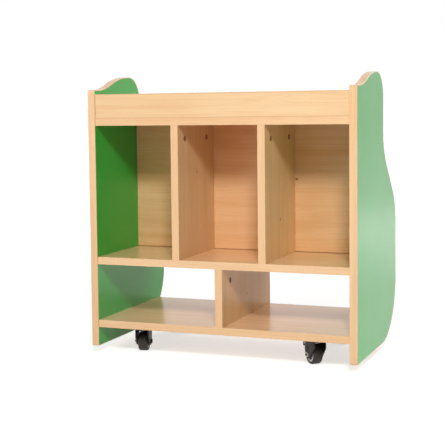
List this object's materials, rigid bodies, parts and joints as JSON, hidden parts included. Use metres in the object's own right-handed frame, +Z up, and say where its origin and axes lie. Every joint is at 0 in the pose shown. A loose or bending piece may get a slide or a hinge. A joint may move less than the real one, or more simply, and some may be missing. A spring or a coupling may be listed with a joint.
{
  "type": "mobile picture book browser bin",
  "caption": "Mobile book cabinet: shallow open browser bin on top, book compartments under it, open bays below and humped side panels, on swivel casters.",
  "frame": {"origin": "on the floor, under the middle of the cabinet's width and depth", "axes": "+X across the cabinet to its right side, +Y towards its rear (the front faces -Y), +Z up"},
  "size_m": [0.66, 0.4, 0.675],
  "materials": {
    "beech_board": "satin beech laminate on board",
    "green_board": "satin green laminate on board",
    "beech_edging": "satin beech edge band",
    "dowel_wood": "raw beech",
    "zinc": "cast zinc",
    "brown_plastic": "matt moulded plastic",
    "bright_steel": "zinc plated",
    "black_steel": "black painted pressed steel",
    "black_plastic": "matt moulded plastic",
    "grey_plastic": "matt moulded plastic",
    "tyre_rubber": "matt rubber"
  },
  "bodies": {
    "root": {"side_panel_left": "green_board", "side_panel_right": "green_board", "side_edging_left": "beech_edging", "side_edging_right": "beech_edging", "top_shelf": "beech_board", "middle_shelf": "beech_board", "bottom_shelf": "beech_board", "divider_left": "beech_board", "divider_right": "beech_board", "lower_divider": "beech_board", "back_panel": "beech_board", "bin_front_rail": "beech_board", "bin_rear_rail": "beech_board", "ledge_rail": "beech_board", "board_edgings": "beech_edging", "cam_locks": "zinc", "cam_bolts": "bright_steel", "cam_caps": "brown_plastic", "wood_dowels": "dowel_wood", "caster_screws": "bright_steel", "caster_plate_fl": "black_steel", "kingpin_fl": "bright_steel", "caster_plate_fr": "black_steel", "kingpin_fr": "bright_steel", "caster_plate_rl": "black_steel", "kingpin_rl": "bright_steel", "caster_plate_rr": "black_steel", "kingpin_rr": "bright_steel"},
    "swivel_fl": {"fork_fl": "black_steel", "bearing_balls_fl": "bright_steel", "axle_bolt_fl": "bright_steel", "axle_nut_fl": "bright_steel", "brake_pin_fl": "bright_steel"},
    "wheel_fl": {"wheel_hub_fl": "black_plastic", "wheel_tyre_fl": "tyre_rubber", "wheel_rings_fl": "grey_plastic"},
    "brake_fl": {"brake_lever_fl": "black_plastic"},
    "swivel_fr": {"fork_fr": "black_steel", "bearing_balls_fr": "bright_steel", "axle_bolt_fr": "bright_steel", "axle_nut_fr": "bright_steel", "brake_pin_fr": "bright_steel"},
    "wheel_fr": {"wheel_hub_fr": "black_plastic", "wheel_tyre_fr": "tyre_rubber", "wheel_rings_fr": "grey_plastic"},
    "brake_fr": {"brake_lever_fr": "black_plastic"},
    "swivel_rl": {"fork_rl": "black_steel", "bearing_balls_rl": "bright_steel", "axle_bolt_rl": "bright_steel", "axle_nut_rl": "bright_steel"},
    "wheel_rl": {"wheel_hub_rl": "black_plastic", "wheel_tyre_rl": "tyre_rubber", "wheel_rings_rl": "grey_plastic"},
    "swivel_rr": {"fork_rr": "black_steel", "bearing_balls_rr": "bright_steel", "axle_bolt_rr": "bright_steel", "axle_nut_rr": "bright_steel"},
    "wheel_rr": {"wheel_hub_rr": "black_plastic", "wheel_tyre_rr": "tyre_rubber", "wheel_rings_rr": "grey_plastic"}
  },
  "joints": [
    {"name": "swivel_turn_fl", "type": "hinge", "parent": "root", "child": "swivel_fl", "pos_m": [-0.222, -0.14, 0.0609], "axis": [0, 0, 1], "continuous": true},
    {"name": "wheel_spin_fl", "type": "hinge", "parent": "swivel_fl", "child": "wheel_fl", "pos_m": [-0.22636, -0.12254, 0.023], "axis": [-0.9703, -0.2419, 0], "continuous": true},
    {"name": "brake_press_fl", "type": "hinge", "parent": "swivel_fl", "child": "brake_fl", "pos_m": [-0.22902, -0.11186, 0.0485], "axis": [-0.9703, -0.2419, 0], "range_deg": [0, 18]},
    {"name": "swivel_turn_fr", "type": "hinge", "parent": "root", "child": "swivel_fr", "pos_m": [0.222, -0.14, 0.0609], "axis": [0, 0, 1], "continuous": true},
    {"name": "wheel_spin_fr", "type": "hinge", "parent": "swivel_fr", "child": "wheel_fr", "pos_m": [0.2095, -0.12705, 0.023], "axis": [-0.7193, -0.6947, 0], "continuous": true},
    {"name": "brake_press_fr", "type": "hinge", "parent": "swivel_fr", "child": "brake_fr", "pos_m": [0.20186, -0.11914, 0.0485], "axis": [-0.7193, -0.6947, 0], "range_deg": [0, 18]},
    {"name": "swivel_turn_rl", "type": "hinge", "parent": "root", "child": "swivel_rl", "pos_m": [-0.222, 0.098, 0.0609], "axis": [0, 0, 1], "continuous": true},
    {"name": "wheel_spin_rl", "type": "hinge", "parent": "swivel_rl", "child": "wheel_rl", "pos_m": [-0.22012, 0.1159, 0.023], "axis": [-0.9945, 0.1045, 0], "continuous": true},
    {"name": "swivel_turn_rr", "type": "hinge", "parent": "root", "child": "swivel_rr", "pos_m": [0.222, 0.098, 0.0609], "axis": [0, 0, 1], "continuous": true},
    {"name": "wheel_spin_rr", "type": "hinge", "parent": "swivel_rr", "child": "wheel_rr", "pos_m": [0.21526, 0.11469, 0.023], "axis": [-0.9272, -0.3746, 0], "continuous": true}
  ]
}
